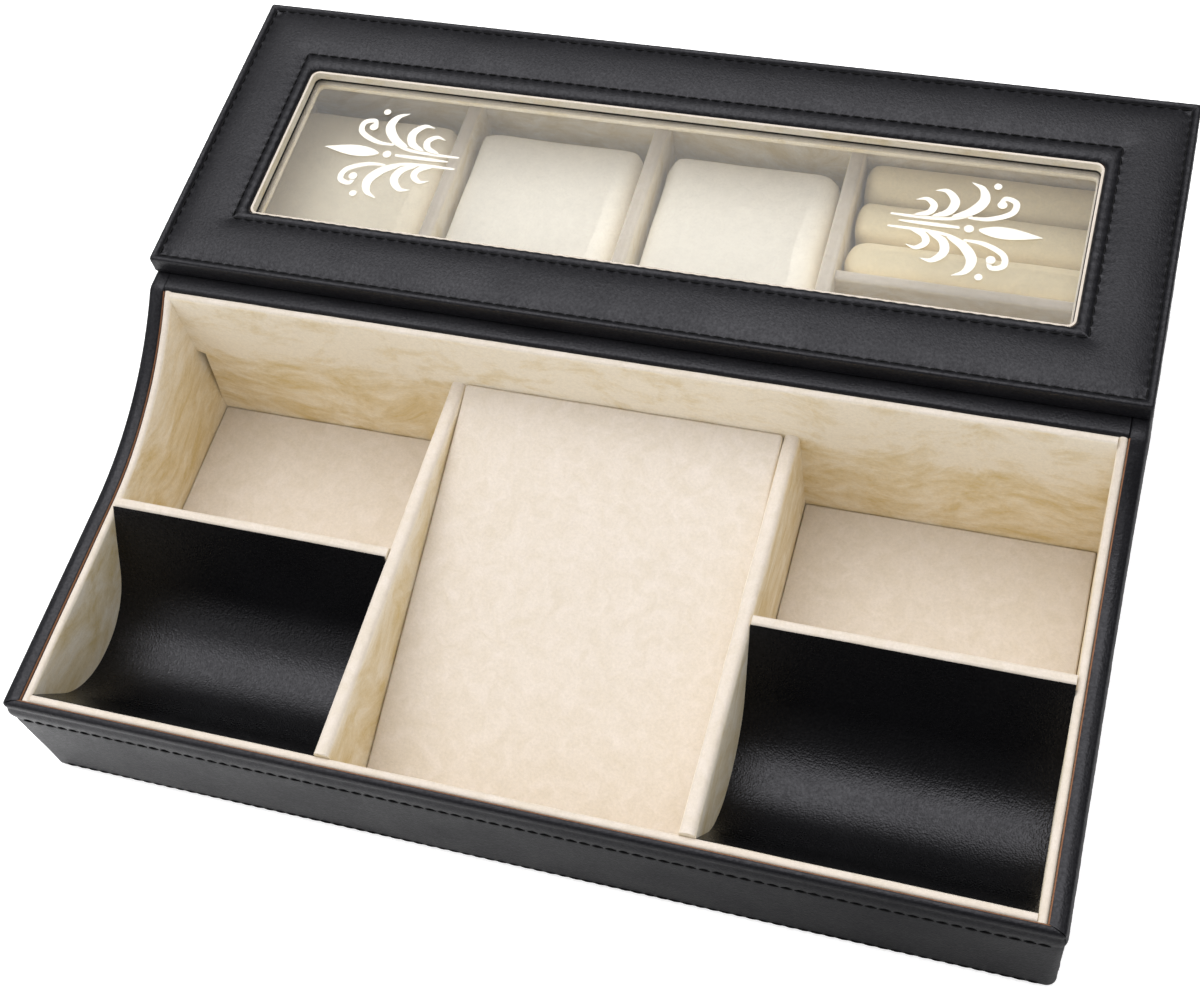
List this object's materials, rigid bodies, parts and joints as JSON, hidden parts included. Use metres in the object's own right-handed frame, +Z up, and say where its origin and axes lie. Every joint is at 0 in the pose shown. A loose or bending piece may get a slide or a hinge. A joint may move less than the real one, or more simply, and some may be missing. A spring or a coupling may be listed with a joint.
{
  "type": "valet box with watch case",
  "caption": "Black leather-covered valet tray with troughs, sloping centre panel and compartments, and behind it a watch case under a hinged glass lid.",
  "frame": {"origin": "middle of the box's footprint on its underside, the face it rests on", "axes": "+X to the right along the box, +Y to the back where the lid is hinged, +Z up"},
  "size_m": [0.32, 0.2683, 0.0791],
  "materials": {
    "black_leather": "fine-grained black leatherette, satin",
    "cream_suede": "cream suede cloth with brushed nap",
    "cream_velvet": "soft cream velvet over foam",
    "bed_foam": "grey packing foam",
    "card_board": "pressed fibre board",
    "black_felt": "black felt",
    "clear_glass": "clear float glass",
    "hinge_metal": "lacquered brass"
  },
  "bodies": {
    "box": {"front_wall": "black_leather", "left_side_wall": "black_leather", "right_side_wall": "black_leather", "back_wall": "black_leather", "middle_wall": "black_leather", "left_trough": "black_leather", "right_trough": "black_leather", "tray_front_lining": "cream_suede", "tray_back_lining": "cream_suede", "left_tray_side_lining": "cream_suede", "right_tray_side_lining": "cream_suede", "left_tray_divider": "cream_suede", "right_tray_divider": "cream_suede", "left_cross_partition": "cream_suede", "right_cross_partition": "cream_suede", "left_tray_floor_pad": "cream_suede", "right_tray_floor_pad": "cream_suede", "ramp_panel": "cream_suede", "case_front_lining": "cream_suede", "case_back_lining": "cream_suede", "case_left_lining": "cream_suede", "case_right_lining": "cream_suede", "case_floor_pad": "cream_suede", "left_watch_divider": "cream_suede", "middle_watch_divider": "cream_suede", "right_watch_divider": "cream_suede", "ring_board": "cream_suede", "ring_pad_1": "cream_velvet", "ring_pad_2": "cream_velvet", "ring_pad_3": "cream_velvet", "left_trough_bed": "bed_foam", "right_trough_bed": "bed_foam", "base_board": "card_board", "left_ramp_rib": "card_board", "right_ramp_rib": "card_board", "underside_felt": "black_felt", "left_hinge_case_leaf": "hinge_metal", "left_hinge_pin": "hinge_metal", "right_hinge_case_leaf": "hinge_metal", "right_hinge_pin": "hinge_metal"},
    "lid": {"lid_board": "black_leather", "window_edge_lining": "cream_suede", "lid_glass": "clear_glass", "lid_inner_panel": "cream_suede", "left_hinge_lid_leaf": "hinge_metal", "right_hinge_lid_leaf": "hinge_metal"},
    "left_pillow": {"left_watch_pillow": "cream_velvet"},
    "middle_pillow": {"middle_watch_pillow": "cream_velvet"},
    "right_pillow": {"right_watch_pillow": "cream_velvet"}
  },
  "joints": [
    {"name": "lid_hinge", "type": "hinge", "parent": "box", "child": "lid", "pos_m": [0, 0.1343, 0.0722], "axis": [-1, 0, 0], "range_deg": [0, 100]},
    {"name": "left_pillow_lift", "type": "slide", "parent": "box", "child": "left_pillow", "axis": [0, 0, 1], "range_m": [0, 0.015]},
    {"name": "middle_pillow_lift", "type": "slide", "parent": "box", "child": "middle_pillow", "axis": [0, 0, 1], "range_m": [0, 0.015]},
    {"name": "right_pillow_lift", "type": "slide", "parent": "box", "child": "right_pillow", "axis": [0, 0, 1], "range_m": [0, 0.015]}
  ]
}
